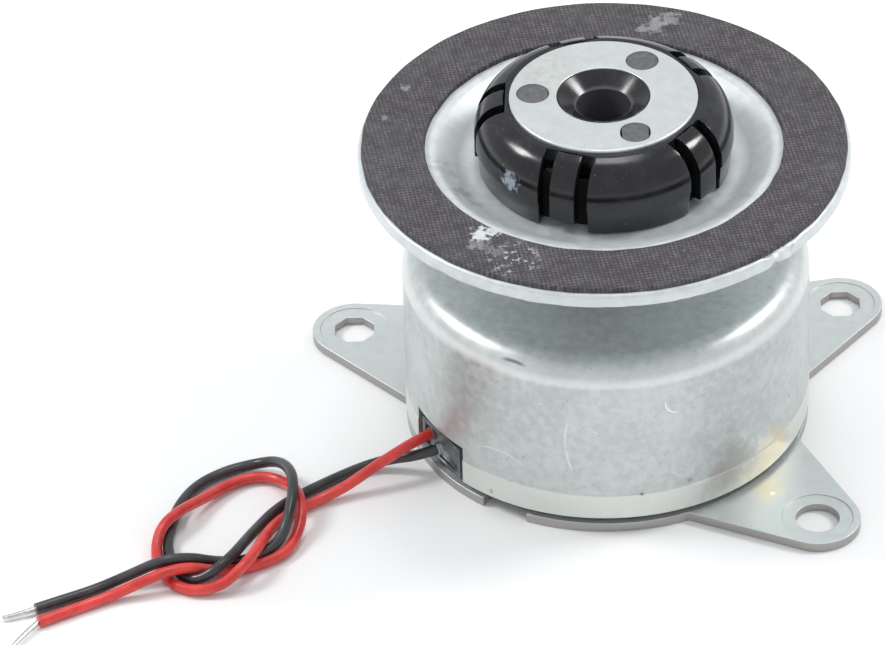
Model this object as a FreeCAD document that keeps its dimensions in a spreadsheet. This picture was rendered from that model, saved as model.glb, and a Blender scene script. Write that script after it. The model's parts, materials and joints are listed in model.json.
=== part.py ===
import FreeCAD, Part
import math
import os
import Sketcher

# Brushed DC spindle motor with a disc turntable.
# Z runs up the spindle. The origin is on the spindle axis, in the lower face of the mounting plate.

SIZES = {
    # mounting plate
    "plate_radius": 11.85, "plate_thick": 0.6, "ear_pitch": 16.6, "ear_tip_radius": 2.5,
    "ear_hole_radius": 1.27, "ear_flat_half": 1.16, "ear_seat_radius": 2.05, "ear_seat_depth": 0.08,
    "plate_notch_depth": 1.7, "plate_notch_width": 2.9, "ear_root_x": 6.0, "ear_root_half": 6.5,
    # can
    "can_radius": 11.9, "can_neck_radius": 11.86, "can_inner": 11.36, "can_foot": 0.97,
    "can_band_top": 2.62, "can_band_slope": 2.7, "can_top": 11.95, "can_ceiling": 11.45,
    "can_round": 1.45, "can_inner_round": 0.95, "boss_radius": 3.1, "boss_top": 13.3,
    "window_half": 2.38, "window_top": 3.52,
    # brush card and bearings
    "card_flange": 11.45, "card_spigot": 11.3, "card_top": 2.2, "card_boss_radius": 3.2,
    "card_boss_top": 2.6, "bearing_radius": 2.2, "bearing_bore": 1.015, "bearing_foot": 0.95,
    "bearing_head": 2.55, "upper_bearing_radius": 2.5, "upper_bearing_foot": 10.9,
    "upper_bearing_head": 13.2, "pad_head": 0.9,
    # lead bushing
    "bushing_face": 11.6, "bushing_back": 9.2, "bushing_half": 2.2, "bushing_top": 3.4,
    "bushing_pocket_half": 2.25,
    # field magnets
    "magnet_inner": 8.5, "magnet_outer": 11.3, "magnet_foot": 2.8, "magnet_head": 10.4,
    "magnet_angle": 130.0, "clip_inner": 10.95, "clip_foot": 3.2, "clip_head": 10.0, "clip_angle": 46.0,
    # brush gear
    "brush_inner": 1.9, "brush_outer": 2.5, "brush_half": 0.5, "brush_foot": 2.75, "brush_head": 3.5,
    "arm_thick": 0.15, "arm_reach": 6.8, "tab_near": 5.6, "tab_thick": 0.35,
    # shaft and armature
    "shaft_radius": 1.0, "shaft_foot": 0.93, "shaft_head": 18.6,
    "core_radius": 8.0, "core_yoke_inner": 6.8, "core_hub_radius": 2.3, "core_foot": 4.6,
    "core_height": 4.8, "pole_width": 2.0, "pole_gap": 1.3, "gap_near": 3.3,
    "coil_near": 2.9, "coil_far": 6.2, "coil_width": 4.6, "coil_foot": 3.75, "coil_height": 6.5,
    "coil_clear": 0.05, "commutator_radius": 1.85, "sleeve_radius": 1.5, "sleeve_foot": 2.7,
    "segment_foot": 2.75, "segment_head": 4.1, "segment_gap": 0.25, "ring_radius": 2.7, "ring_foot": 4.2,
    "washer_radius": 1.6, "washer_foot": 2.58, "spacer_foot": 9.4, "spacer_head": 10.85,
    # turntable
    "bush_radius": 2.0, "bush_waist": 2.4, "bush_foot": 14.0, "bush_flange": 3.5,
    "bush_flange_foot": 16.6, "dish_under": 17.35, "dish_floor": 17.95, "dish_floor_radius": 8.1,
    "dish_under_radius": 7.85, "seat_radius": 9.75, "seat_under_radius": 9.5, "seat_height": 18.91,
    "seat_under": 18.31, "rim_radius": 14.2, "rim_inner": 13.7, "rim_foot": 17.97,
    "rim_round": 0.3, "dish_round": 1.2, "mat_inner": 10.3, "mat_outer": 13.97, "mat_top": 19.23,
    "mat_round": 0.1,
    # centring hub
    "spigot_radius": 7.45, "skirt_radius": 7.25, "skirt_inner": 6.5, "skirt_foot": 18.05,
    "spigot_foot": 19.66, "spigot_step": 19.6, "spigot_head": 20.85, "shoulder_radius": 6.75,
    "shoulder_height": 22.03, "lip_radius": 5.88, "lip_inner": 5.46, "lip_height": 22.36,
    "hub_ceiling": 21.0, "hub_boss_radius": 3.0, "shoulder_round": 1.0, "spigot_round": 1.2,
    "clamp_seat": 22.07, "clamp_top": 22.52, "clamp_radius": 5.42, "clamp_bore": 2.68,
    "collar_radius": 2.66, "funnel_radius": 2.6, "funnel_foot": 21.85, "pilot_radius": 1.55,
    "pilot_foot": 19.2, "rivet_pitch": 4.05, "rivet_hole": 0.95, "rivet_radius": 0.93,
    "rivet_top": 22.47, "rivet_flat": 0.76, "clamp_round": 0.08,
    # spring fingers
    "window_width": 2.95, "window_inner": 5.7, "finger_width": 1.45, "finger_root": 5.76,
    "finger_root_foot": 21.6, "finger_bend": 6.3, "finger_bend_height": 21.5, "finger_inner": 6.75,
    "finger_inner_height": 20.9, "finger_foot": 18.7, "finger_sweep": 24.0,
    # leads
    "lead_radius": 0.32, "core_wire_radius": 0.16,
}
FINGERS = 5
POLES = 3
RIVETS = 3
EAR_ANGLES = {"round": -45.2, "right": 30.5, "left": 153.6}
NOTCH_ANGLE = -122.5
LEAD_ANGLE = -148.5
HUB_ANGLE = 33.0
RIVET_ANGLE = 54.5
CUT_MARGIN = 1.0
TRIM_SHARE = 0.45
TUBE_TOLERANCE = 0.02
SMALL = 1e-6

document = FreeCAD.newDocument("SpindleMotor")
sheet = document.addObject("Spreadsheet::Sheet", "Sizes")
for row, (alias, value) in enumerate(SIZES.items(), start=1):
    sheet.set("A%d" % row, alias)
    sheet.set("B%d" % row, str(value))
    sheet.setAlias("B%d" % row, alias)
document.recompute()

parts = []


# ---------------------------------------------------------------- helpers

def size(alias):
    """The value of one cell of the sheet."""
    return float(sheet.get(alias))


def total(words):
    """The sum of the named sizes; one with a leading minus is taken away."""
    return sum(-size(word[1:]) if word.startswith("-") else size(word) for word in words.split())


def formula(words):
    """The same sum as an expression for setExpression."""
    terms = ["- Sizes." + word[1:] if word.startswith("-") else "+ Sizes." + word for word in words.split()]
    return "0 " + " ".join(terms)


def bind(thing, prop, words):
    """Tie a property of an object to cells of the sheet."""
    thing.setExpression(prop, formula(words))


def turned(angle, x=0.0, y=0.0, z=0.0):
    """A place turned about Z by an angle in degrees, after a shift."""
    turn = FreeCAD.Rotation(FreeCAD.Vector(0, 0, 1), angle)
    return FreeCAD.Placement(turn.multVec(FreeCAD.Vector(x, y, z)), turn)


def keep(thing, label, place=None):
    """Name a finished sub-part and put it in its place."""
    thing.Label = label
    if place is not None:
        thing.Placement = place
    parts.append(thing)
    return thing


def new_body(name):
    return document.addObject("PartDesign::Body", name + "_body")


def origin_feature(body, role):
    return [item for item in body.Origin.OriginFeatures if item.Role == role][0]


def new_sketch(body, name, role):
    """An empty sketch on one of the body's own origin planes."""
    sketch = body.newObject("Sketcher::SketchObject", name)
    sketch.AttachmentSupport = (origin_feature(body, role), [""])
    sketch.MapMode = "FlatFace"
    return sketch


def pin_point(sketch, index, words_x, words_y):
    """Hold the start of one line at named distances from the axes."""
    for words, kind, axis in ((words_x, "DistanceX", -2), (words_y, "DistanceY", -1)):
        if words == "":
            sketch.addConstraint(Sketcher.Constraint("PointOnObject", index, 1, axis))
        else:
            number = sketch.addConstraint(Sketcher.Constraint(kind, -1, 1, index, 1, total(words)))
            sketch.setExpression("Constraints[%d]" % number, formula(words))


def add_outline(sketch, points):
    """A closed outline through points given as pairs of named sums."""
    spots = [FreeCAD.Vector(total(x), total(y), 0) for x, y in points]
    first = sketch.GeometryCount
    count = len(spots)
    for index in range(count):
        line = Part.LineSegment(spots[index], spots[(index + 1) % count])
        sketch.addGeometry(line, False)
    for index in range(count):
        after = first + (index + 1) % count
        sketch.addConstraint(Sketcher.Constraint("Coincident", first + index, 2, after, 1))
    for index, (x, y) in enumerate(points):
        pin_point(sketch, first + index, x, y)


def add_loop(sketch, corners):
    """Lines that join the corners into a closed loop."""
    count = len(corners)
    for index in range(count):
        sketch.addGeometry(Part.LineSegment(corners[index], corners[(index + 1) % count]), False)
    for index in range(count):
        sketch.addConstraint(Sketcher.Constraint("Coincident", index, 2, (index + 1) % count, 1))


def add_circle(sketch, radius, x=""):
    """A circle of a named radius, centred on the sketch's first axis."""
    spot = FreeCAD.Vector(total(x), 0, 0)
    index = sketch.addGeometry(Part.Circle(spot, FreeCAD.Vector(0, 0, 1), size(radius)), False)
    number = sketch.addConstraint(Sketcher.Constraint("Radius", index, size(radius)))
    sketch.setExpression("Constraints[%d]" % number, "Sizes." + radius)
    sketch.addConstraint(Sketcher.Constraint("PointOnObject", index, 3, -1))
    if x == "":
        sketch.addConstraint(Sketcher.Constraint("PointOnObject", index, 3, -2))
    else:
        number = sketch.addConstraint(Sketcher.Constraint("DistanceX", -1, 1, index, 3, total(x)))
        sketch.setExpression("Constraints[%d]" % number, formula(x))


def revolve(body, name, points, angle=360.0):
    """Turn an outline of (radius, height) points about Z, evenly to both sides of the XZ plane."""
    sketch = new_sketch(body, name + "_outline", "XZ_Plane")
    add_outline(sketch, points)
    turn = body.newObject("PartDesign::Revolution", name + "_turn")
    turn.Profile = sketch
    turn.ReferenceAxis = (sketch, ["V_Axis"])
    turn.Angle = angle
    turn.Midplane = angle < 360.0
    return turn


def box_points(inner, outer, foot, head):
    return [(inner, foot), (outer, foot), (outer, head), (inner, head)]


def ring(name, inner, outer, foot, head):
    """A plain ring, washer or disc as a body of its own."""
    body = new_body(name)
    revolve(body, name, box_points(inner, outer, foot, head))
    return keep(body, name)


def circles_at(shape, spots):
    """Names of the full round edges that lie at (radius, height) pairs."""
    names = []
    for index, edge in enumerate(shape.Edges, start=1):
        curve = edge.Curve
        if isinstance(curve, Part.Circle):
            for radius, height in spots:
                if max(abs(curve.Radius - radius), abs(curve.Center.z - height)) < SMALL:
                    names.append("Edge%d" % index)
    return names


def fillet(body, name, base, radius, spots):
    """Round the circular edges of a body's last feature."""
    document.recompute()
    names = circles_at(base.Shape, [(total(r), total(z)) for r, z in spots])
    rounding = body.newObject("PartDesign::Fillet", name)
    rounding.Base = (base, names)
    rounding.Radius = size(radius)
    bind(rounding, "Radius", radius)
    return rounding


def cut_through(body, name, sketch):
    """Cut a sketch on the XY plane upwards through the whole body, and make sure that it cuts."""
    before = body.Shape.Volume
    pocket = body.newObject("PartDesign::Pocket", name)
    pocket.Profile = sketch
    pocket.Type = "ThroughAll"
    pocket.Reversed = True
    document.recompute()
    if body.Shape.Volume > before - SMALL:
        raise RuntimeError(name + " cuts nothing")
    return pocket


def repeat(body, name, feature, count):
    """Repeat a feature evenly round Z."""
    pattern = body.newObject("PartDesign::PolarPattern", name)
    pattern.Originals = [feature]
    pattern.Axis = (origin_feature(body, "Z_Axis"), [""])
    pattern.Angle = 360.0
    pattern.Occurrences = count
    body.Tip = pattern
    document.recompute()
    return pattern


def block(name, corner, lengths):
    """A box whose corner and sides are named sums."""
    box = document.addObject("Part::Box", name)
    for prop, words in zip(("Length", "Width", "Height"), lengths):
        bind(box, prop, words)
    for axis, words in zip("xyz", corner):
        bind(box, "Placement.Base." + axis, words)
    return box


def cylinder(name, radius, foot, height):
    """A cylinder about Z that stands at a named height."""
    thing = document.addObject("Part::Cylinder", name)
    bind(thing, "Radius", radius)
    bind(thing, "Height", height)
    bind(thing, "Placement.Base.z", foot)
    return thing


def cut(name, base, tool):
    result = document.addObject("Part::Cut", name)
    result.Base = base
    result.Tool = tool
    return result


def fuse(name, things):
    result = document.addObject("Part::MultiFuse", name)
    result.Shapes = things
    return result


# ---------------------------------------------------------------- stator

def ear_outline():
    """The straight-sided part of an ear that points along X, ending in tangents to its tip."""
    root_half = size("ear_root_half")
    taper = math.atan2(root_half - size("ear_tip_radius"), size("ear_pitch") - size("ear_root_x"))
    x = size("ear_pitch") + size("ear_tip_radius") * math.sin(taper)
    y = size("ear_tip_radius") * math.cos(taper)
    return [FreeCAD.Vector(size("ear_root_x"), -root_half, 0), FreeCAD.Vector(x, -y, 0),
            FreeCAD.Vector(x, y, 0), FreeCAD.Vector(size("ear_root_x"), root_half, 0)]


def make_ear(label, angle):
    """One ear: a tapered tongue with a round tip, a hole and a shallow seat round it."""
    height = size("plate_thick")
    corners = ear_outline()
    tongue = Part.Face(Part.makePolygon(corners + corners[:1])).extrude(FreeCAD.Vector(0, 0, height))
    spot = FreeCAD.Vector(size("ear_pitch"), 0, 0)
    tip = Part.makeCylinder(size("ear_tip_radius"), height, spot)
    if label == "round":
        hole = Part.makeCylinder(size("ear_hole_radius"), height, spot)
    else:
        hole = octagon(size("ear_flat_half"), height, spot, -angle)
    seat_floor = FreeCAD.Vector(size("ear_pitch"), 0, height - size("ear_seat_depth"))
    seat = Part.makeCylinder(size("ear_seat_radius"), size("ear_seat_depth"), seat_floor)
    ear = tongue.fuse(tip).removeSplitter()
    return ear, hole.fuse(seat)


def octagon(half, height, centre, angle):
    """An eight-sided prism, half wide from its centre to each flat."""
    radius = half / math.cos(math.pi / 8)
    turns = [math.radians(angle) + math.pi / 8 + step * math.pi / 4 for step in range(9)]
    corners = [centre + FreeCAD.Vector(radius * math.cos(turn), radius * math.sin(turn), 0) for turn in turns]
    return Part.Face(Part.makePolygon(corners)).extrude(FreeCAD.Vector(0, 0, height))


def make_mounting_plate():
    """The sheet steel base: a disc with three ears, each with a screw hole, and one rim notch."""
    plate = Part.makeCylinder(size("plate_radius"), size("plate_thick"))
    holes = []
    for label, angle in EAR_ANGLES.items():
        ear, hole = make_ear(label, angle)
        ear.Placement = turned(angle)
        hole.Placement = turned(angle)
        plate = plate.fuse(ear)
        holes.append(hole)
    plate = plate.removeSplitter()
    for hole in holes:
        plate = plate.cut(hole)
    width = size("plate_notch_width")
    depth = size("plate_notch_depth")
    corner = FreeCAD.Vector(size("plate_radius") - depth, -width / 2, 0)
    notch = Part.makeBox(2 * depth, width, size("plate_thick"), corner)
    notch.Placement = turned(NOTCH_ANGLE)
    feature = document.addObject("Part::Feature", "mounting_plate_shape")
    feature.Shape = plate.cut(notch)
    return keep(feature, "mounting_plate", FreeCAD.Placement())


def make_motor_can():
    """The drawn steel can: round shoulder, bearing boss on top, and an opening for the leads."""
    body = new_body("can")
    shell = revolve(body, "can", [
        ("can_inner", "can_foot"), ("can_radius", "can_foot"), ("can_radius", "can_band_top"),
        ("can_neck_radius", "can_band_slope"), ("can_neck_radius", "can_top"), ("boss_radius", "can_top"),
        ("boss_radius", "boss_top"), ("upper_bearing_radius", "boss_top"),
        ("upper_bearing_radius", "can_ceiling"), ("can_inner", "can_ceiling")])
    outside = fillet(body, "can_shoulder", shell, "can_round", [("can_neck_radius", "can_top")])
    fillet(body, "can_inside", outside, "can_inner_round", [("can_inner", "can_ceiling")])
    document.recompute()
    before = body.Shape.Volume
    sketch = new_sketch(body, "can_window_outline", "YZ_Plane")
    add_outline(sketch, [("-window_half", ""), ("window_half", ""), ("window_half", "window_top"),
                         ("-window_half", "window_top")])
    window = body.newObject("PartDesign::Pocket", "can_window")
    window.Profile = sketch
    window.Type = "Length"
    window.Reversed = True
    bind(window, "Length", "can_radius can_foot")
    document.recompute()
    if body.Shape.Volume > before - SMALL:
        raise RuntimeError("the can's window cuts nothing")
    return keep(body, "motor_can", turned(LEAD_ANGLE))


def make_brush_card():
    """The moulded card that closes the can and holds the brush gear and the lower bearing."""
    body = new_body("card")
    revolve(body, "card", [
        ("bearing_radius", "plate_thick"), ("card_flange", "plate_thick"), ("card_flange", "can_foot"),
        ("card_spigot", "can_foot"), ("card_spigot", "card_top"), ("card_boss_radius", "card_top"),
        ("card_boss_radius", "card_boss_top"), ("bearing_radius", "card_boss_top")])
    document.recompute()
    before = body.Shape.Volume
    sketch = new_sketch(body, "card_notch_outline", "YZ_Plane")
    add_outline(sketch, [("-bushing_pocket_half", "can_foot"), ("bushing_pocket_half", "can_foot"),
                         ("bushing_pocket_half", "card_boss_top"),
                         ("-bushing_pocket_half", "card_boss_top")])
    sketch.AttachmentOffset = FreeCAD.Placement(FreeCAD.Vector(0, 0, size("bushing_back")),
                                                FreeCAD.Rotation())
    notch = body.newObject("PartDesign::Pocket", "card_notch")
    notch.Profile = sketch
    notch.Type = "ThroughAll"
    notch.Reversed = True
    document.recompute()
    if body.Shape.Volume > before - SMALL:
        raise RuntimeError("the card's notch cuts nothing")
    return keep(body, "brush_card", turned(LEAD_ANGLE))


def make_lead_bushing():
    """The insulating block that fills the can's opening; the leads come out of its flat face."""
    box = block("bushing", ("bushing_back", "-bushing_half", "can_foot"),
                ("bushing_face -bushing_back", "bushing_half bushing_half", "bushing_top -can_foot"))
    holder = document.addObject("Part::Compound", "lead_bushing_shape")
    holder.Links = [box]
    return keep(holder, "lead_bushing", turned(LEAD_ANGLE))


def arc_piece(name, points, angle, place):
    """A piece that is part of a ring, such as a field magnet."""
    body = new_body(name)
    revolve(body, name, points, angle)
    return keep(body, name, place)


def make_field():
    """Two ferrite arcs and the spring clip that presses them apart."""
    outline = box_points("magnet_inner", "magnet_outer", "magnet_foot", "magnet_head")
    angle = size("magnet_angle")
    arc_piece("field_magnet_front", outline, angle, turned(LEAD_ANGLE + 90))
    arc_piece("field_magnet_rear", outline, angle, turned(LEAD_ANGLE - 90))
    outline = box_points("clip_inner", "magnet_outer", "clip_foot", "clip_head")
    arc_piece("magnet_clip", outline, size("clip_angle"), turned(LEAD_ANGLE + 180))


def make_brush_gear():
    """On each side of the commutator: a contact, its spring arm and the tab that holds the arm."""
    height = "brush_head -brush_foot"
    for side, turn in (("front", LEAD_ANGLE + 90), ("rear", LEAD_ANGLE - 90)):
        pieces = {
            "brush_contact": (("brush_inner", "-brush_half", "brush_foot"),
                              ("brush_outer -brush_inner", "brush_half brush_half", height)),
            "brush_arm": (("brush_outer", "-brush_half", "brush_foot"),
                          ("arm_thick", "brush_half arm_reach", height)),
            "brush_tab": (("brush_outer arm_thick", "tab_near", "card_top"),
                          ("tab_thick", "arm_reach -tab_near", "brush_head -card_top")),
        }
        for name, (corner, lengths) in pieces.items():
            holder = document.addObject("Part::Compound", name + "_" + side + "_shape")
            holder.Links = [block(name + "_" + side + "_block", corner, lengths)]
            keep(holder, name + "_" + side, turned(turn))


# ---------------------------------------------------------------- rotor

def make_armature():
    """Laminated three-pole core, one coil round each pole."""
    yoke = cut("core_yoke", cylinder("core_outside", "core_radius", "core_foot", "core_height"),
               cylinder("core_inside", "core_yoke_inner", "core_foot", "core_height"))
    solid = [yoke, cylinder("core_hub", "core_hub_radius", "core_foot", "core_height")]
    away = [cylinder("core_bore", "shaft_radius", "core_foot", "core_height")]
    for pole in range(POLES):
        angle = pole * 360.0 / POLES
        stem = document.addObject("Part::Box", "core_stem_%d" % pole)
        bind(stem, "Length", "core_yoke_inner coil_clear")
        bind(stem, "Width", "pole_width")
        bind(stem, "Height", "core_height")
        stem.Placement = turned(angle, 0, -size("pole_width") / 2, size("core_foot"))
        solid.append(stem)
        gap = document.addObject("Part::Box", "core_gap_%d" % pole)
        bind(gap, "Length", "core_radius")
        bind(gap, "Width", "pole_gap")
        bind(gap, "Height", "core_height")
        between = angle + 180.0 / POLES
        gap.Placement = turned(between, size("gap_near"), -size("pole_gap") / 2, size("core_foot"))
        away.append(gap)
        make_coil(pole, angle)
    keep(cut("core_shape", fuse("core_solid", solid), fuse("core_away", away)), "armature_core")


def make_coil(pole, angle):
    """A coil: a thick rectangular loop round one pole's stem."""
    outer = block("coil_outer_%d" % pole, ("coil_near", "-coil_width", "coil_foot"),
                  ("coil_far -coil_near", "coil_width", "coil_height"))
    outer.setExpression("Placement.Base.y", "0 - Sizes.coil_width / 2")
    inner = block("coil_inner_%d" % pole, ("coil_near", "-pole_width", "core_foot -coil_clear"),
                  ("coil_far -coil_near", "pole_width coil_clear coil_clear",
                   "core_height coil_clear coil_clear"))
    inner.setExpression("Placement.Base.y", "0 - Sizes.pole_width / 2 - Sizes.coil_clear")
    keep(cut("coil_%d" % pole, outer, inner), "armature_coil_%d" % (pole + 1), turned(angle))


def make_commutator():
    """Moulded sleeve, three copper segments and the disc varistor above them."""
    ring("commutator_sleeve", "shaft_radius", "sleeve_radius", "sleeve_foot", "core_foot")
    ring("varistor_ring", "sleeve_radius", "ring_radius", "ring_foot", "core_foot")
    height = "segment_head -segment_foot"
    shell = cut("segment_shell", cylinder("segment_outside", "commutator_radius", "segment_foot", height),
                cylinder("segment_inside", "sleeve_radius", "segment_foot", height))
    slits = []
    for slit in range(POLES):
        box = document.addObject("Part::Box", "segment_slit_%d" % slit)
        bind(box, "Length", "ring_radius")
        bind(box, "Width", "segment_gap")
        bind(box, "Height", height)
        box.Placement = turned(slit * 360.0 / POLES, 0, -size("segment_gap") / 2, size("segment_foot"))
        slits.append(box)
    keep(cut("segments_shape", shell, fuse("segment_slits", slits)), "commutator_segments")


def make_turntable():
    """The pressed steel turntable, its rubber mat and the bush that holds it on the shaft."""
    body = new_body("turntable")
    pressed = revolve(body, "turntable", [
        ("bush_radius", "dish_under"), ("dish_under_radius", "dish_under"),
        ("seat_under_radius", "seat_under"), ("rim_inner", "seat_under"), ("rim_inner", "rim_foot"),
        ("rim_radius", "rim_foot"), ("rim_radius", "seat_height"), ("seat_radius", "seat_height"),
        ("dish_floor_radius", "dish_floor"), ("bush_radius", "dish_floor")])
    rim = fillet(body, "turntable_rim", pressed, "rim_round",
                 [("rim_radius", "seat_height"), ("rim_radius", "rim_foot")])
    fillet(body, "turntable_dish", rim, "dish_round",
           [("seat_radius", "seat_height"), ("dish_floor_radius", "dish_floor")])
    keep(body, "turntable_platter")
    body = new_body("mat")
    flat = revolve(body, "mat", box_points("mat_inner", "mat_outer", "seat_height", "mat_top"))
    fillet(body, "mat_edges", flat, "mat_round", [("mat_outer", "mat_top"), ("mat_inner", "mat_top")])
    keep(body, "rubber_mat")
    body = new_body("bush")
    revolve(body, "bush", [
        ("shaft_radius", "bush_foot"), ("bush_waist", "bush_foot"), ("bush_waist", "bush_flange_foot"),
        ("bush_flange", "bush_flange_foot"), ("bush_flange", "dish_under"), ("bush_radius", "dish_under"),
        ("bush_radius", "dish_floor"), ("shaft_radius", "dish_floor")])
    keep(body, "turntable_bush")


def window_outline(sketch):
    """A gap for one spring finger, seen from above."""
    half = size("window_width") / 2
    reach = size("window_inner")
    far = size("spigot_radius") + CUT_MARGIN
    add_loop(sketch, [FreeCAD.Vector(reach, -half, 0), FreeCAD.Vector(far, -half, 0),
                      FreeCAD.Vector(far, half, 0), FreeCAD.Vector(reach, half, 0)])
    sketch.addConstraint(Sketcher.Constraint("Horizontal", 0))
    sketch.addConstraint(Sketcher.Constraint("Horizontal", 2))
    sketch.addConstraint(Sketcher.Constraint("Vertical", 1))
    sketch.addConstraint(Sketcher.Constraint("Symmetric", 3, 1, 0, 1, -1))
    wide = sketch.addConstraint(Sketcher.Constraint("DistanceY", 0, 1, 3, 1, 2 * half))
    sketch.setExpression("Constraints[%d]" % wide, "Sizes.window_width")
    near = sketch.addConstraint(Sketcher.Constraint("DistanceX", -1, 1, 0, 1, reach))
    sketch.setExpression("Constraints[%d]" % near, "Sizes.window_inner")
    sketch.addConstraint(Sketcher.Constraint("DistanceX", -1, 1, 1, 1, far))


def make_centering_hub():
    """The moulded hub that centres the disc: five rigid segments with a gap for each finger."""
    body = new_body("hub")
    shell = revolve(body, "hub", [
        ("shaft_radius", "dish_floor"), ("hub_boss_radius", "dish_floor"), ("hub_boss_radius", "hub_ceiling"),
        ("skirt_inner", "hub_ceiling"), ("skirt_inner", "skirt_foot"), ("skirt_radius", "skirt_foot"),
        ("skirt_radius", "spigot_step"), ("spigot_radius", "spigot_foot"), ("spigot_radius", "spigot_head"),
        ("shoulder_radius", "shoulder_height"), ("lip_radius", "lip_height"), ("lip_inner", "lip_height"),
        ("lip_inner", "clamp_seat"), ("collar_radius", "clamp_seat"), ("collar_radius", "clamp_top"),
        ("funnel_radius", "clamp_top"), ("pilot_radius", "funnel_foot"), ("pilot_radius", "pilot_foot"),
        ("shaft_radius", "pilot_foot")])
    shoulder = fillet(body, "hub_shoulder", shell, "shoulder_round", [("shoulder_radius", "shoulder_height")])
    fillet(body, "hub_spigot", shoulder, "spigot_round", [("spigot_radius", "spigot_head")])
    document.recompute()
    sketch = new_sketch(body, "hub_window_outline", "XY_Plane")
    window_outline(sketch)
    window = cut_through(body, "hub_window", sketch)
    repeat(body, "hub_windows", window, FINGERS)
    keep(body, "centering_hub", turned(HUB_ANGLE))


def make_fingers():
    """Five sprung fingers that hang from the hub's crown and press on the disc's hole."""
    for finger in range(FINGERS):
        name = "spring_finger_%d" % (finger + 1)
        body = new_body(name)
        arc = revolve(body, name, [
            ("finger_root", "finger_root_foot"), ("finger_bend", "finger_bend_height"),
            ("finger_inner", "finger_inner_height"), ("finger_inner", "finger_foot"),
            ("spigot_radius", "finger_foot"), ("spigot_radius", "spigot_head"),
            ("shoulder_radius", "shoulder_height"), ("lip_radius", "lip_height"),
            ("finger_root", "lip_height")], size("finger_sweep"))
        crown = fillet(body, name + "_shoulder", arc, "shoulder_round",
                       [("shoulder_radius", "shoulder_height")])
        fillet(body, name + "_spigot", crown, "spigot_round", [("spigot_radius", "spigot_head")])
        document.recompute()
        for side, name_side in ((1, "left"), (-1, "right")):
            sketch = new_sketch(body, name + "_" + name_side, "XY_Plane")
            finger_side(sketch, side)
            cut_through(body, name + "_trim_" + name_side, sketch)
        keep(body, name, turned(HUB_ANGLE + finger * 360.0 / FINGERS))


def finger_side(sketch, side):
    """What is trimmed off one side of a finger to leave it parallel."""
    near = size("finger_width") / 2 * side
    far = size("window_width") * side
    start = size("finger_root") - CUT_MARGIN
    end = size("spigot_radius") + CUT_MARGIN
    add_loop(sketch, [FreeCAD.Vector(start, near, 0), FreeCAD.Vector(end, near, 0),
                      FreeCAD.Vector(end, far, 0), FreeCAD.Vector(start, far, 0)])
    sketch.addConstraint(Sketcher.Constraint("Horizontal", 0))
    wide = sketch.addConstraint(Sketcher.Constraint("DistanceY", -1, 1, 0, 1, near))
    sketch.setExpression("Constraints[%d]" % wide, "Sizes.finger_width / 2 * (%d)" % side)


def make_clamp_plate():
    """The steel disc on the hub that the lid's magnet clamps to, with its three rivets."""
    body = new_body("clamp")
    disc = revolve(body, "clamp", box_points("clamp_bore", "clamp_radius", "clamp_seat", "clamp_top"))
    fillet(body, "clamp_edge", disc, "clamp_round", [("clamp_radius", "clamp_top")])
    document.recompute()
    sketch = new_sketch(body, "clamp_hole_outline", "XY_Plane")
    add_circle(sketch, "rivet_hole", "rivet_pitch")
    hole = cut_through(body, "clamp_hole", sketch)
    repeat(body, "clamp_holes", hole, RIVETS)
    keep(body, "clamp_plate", turned(RIVET_ANGLE))
    rivets = []
    for rivet in range(RIVETS):
        place = turned(rivet * 360.0 / RIVETS, size("rivet_pitch"), 0, size("clamp_seat"))
        pin = document.addObject("Part::Cylinder", "rivet_%d" % rivet)
        bind(pin, "Radius", "rivet_radius")
        bind(pin, "Height", "rivet_top -clamp_seat")
        pin.Placement = place
        rivets.append(pin)
    # the last rivet has two flats, which face along X
    flats = document.addObject("Part::Box", "rivet_flats")
    bind(flats, "Length", "rivet_flat rivet_flat")
    bind(flats, "Width", "rivet_radius rivet_radius")
    bind(flats, "Height", "rivet_top -clamp_seat")
    aligned = turned(-RIVET_ANGLE, -size("rivet_flat"), -size("rivet_radius"))
    flats.Placement = FreeCAD.Placement(place.Base + aligned.Base, aligned.Rotation)
    flat_rivet = document.addObject("Part::Common", "flat_rivet")
    flat_rivet.Base = rivets.pop()
    flat_rivet.Tool = flats
    rivets.append(flat_rivet)
    holder = document.addObject("Part::Compound", "rivets_shape")
    holder.Links = rivets
    keep(holder, "clamp_rivets", turned(RIVET_ANGLE))


# ---------------------------------------------------------------- leads

# The middle line of each lead, from the bushing's flat face to the end of its insulation: out and
# down to the floor, once round a loose overhand knot, and away. Heights above 0.4 are the humps
# where one lead passes over another.
RED_ROUTE = [
    (-10.5, -5.0, 2.2), (-11.9, -5.9, 2.1), (-13.5, -6.9, 1.5), (-15.2, -7.7, 0.75),
    (-16.8, -8.5, 0.34), (-18.3, -9.5, 0.34), (-19.5, -10.8, 0.4), (-20.4, -12.4, 1.05),
    (-20.9, -14.1, 1.25), (-21.6, -15.6, 1.1), (-23.0, -16.8, 0.6), (-24.8, -17.0, 0.34),
    (-26.5, -16.0, 0.34), (-27.2, -14.2, 0.34), (-27.1, -12.4, 0.36), (-26.5, -10.7, 0.85),
    (-25.3, -9.1, 1.25), (-23.8, -7.5, 0.95), (-22.2, -6.5, 0.4), (-20.7, -6.35, 0.34),
    (-19.3, -7.1, 0.5), (-18.1, -8.3, 1.15), (-17.8, -10.0, 1.2), (-18.1, -11.6, 0.8),
    (-18.9, -13.0, 0.36), (-20.1, -14.0, 0.34), (-21.5, -14.5, 0.34), (-23.0, -14.65, 0.4),
    (-24.3, -15.1, 1.0), (-25.6, -15.6, 1.2), (-27.0, -15.9, 1.0), (-28.6, -16.3, 0.45),
    (-30.1, -16.9, 0.34), (-31.6, -17.8, 0.36), (-33.1, -18.8, 0.34),
]
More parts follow.
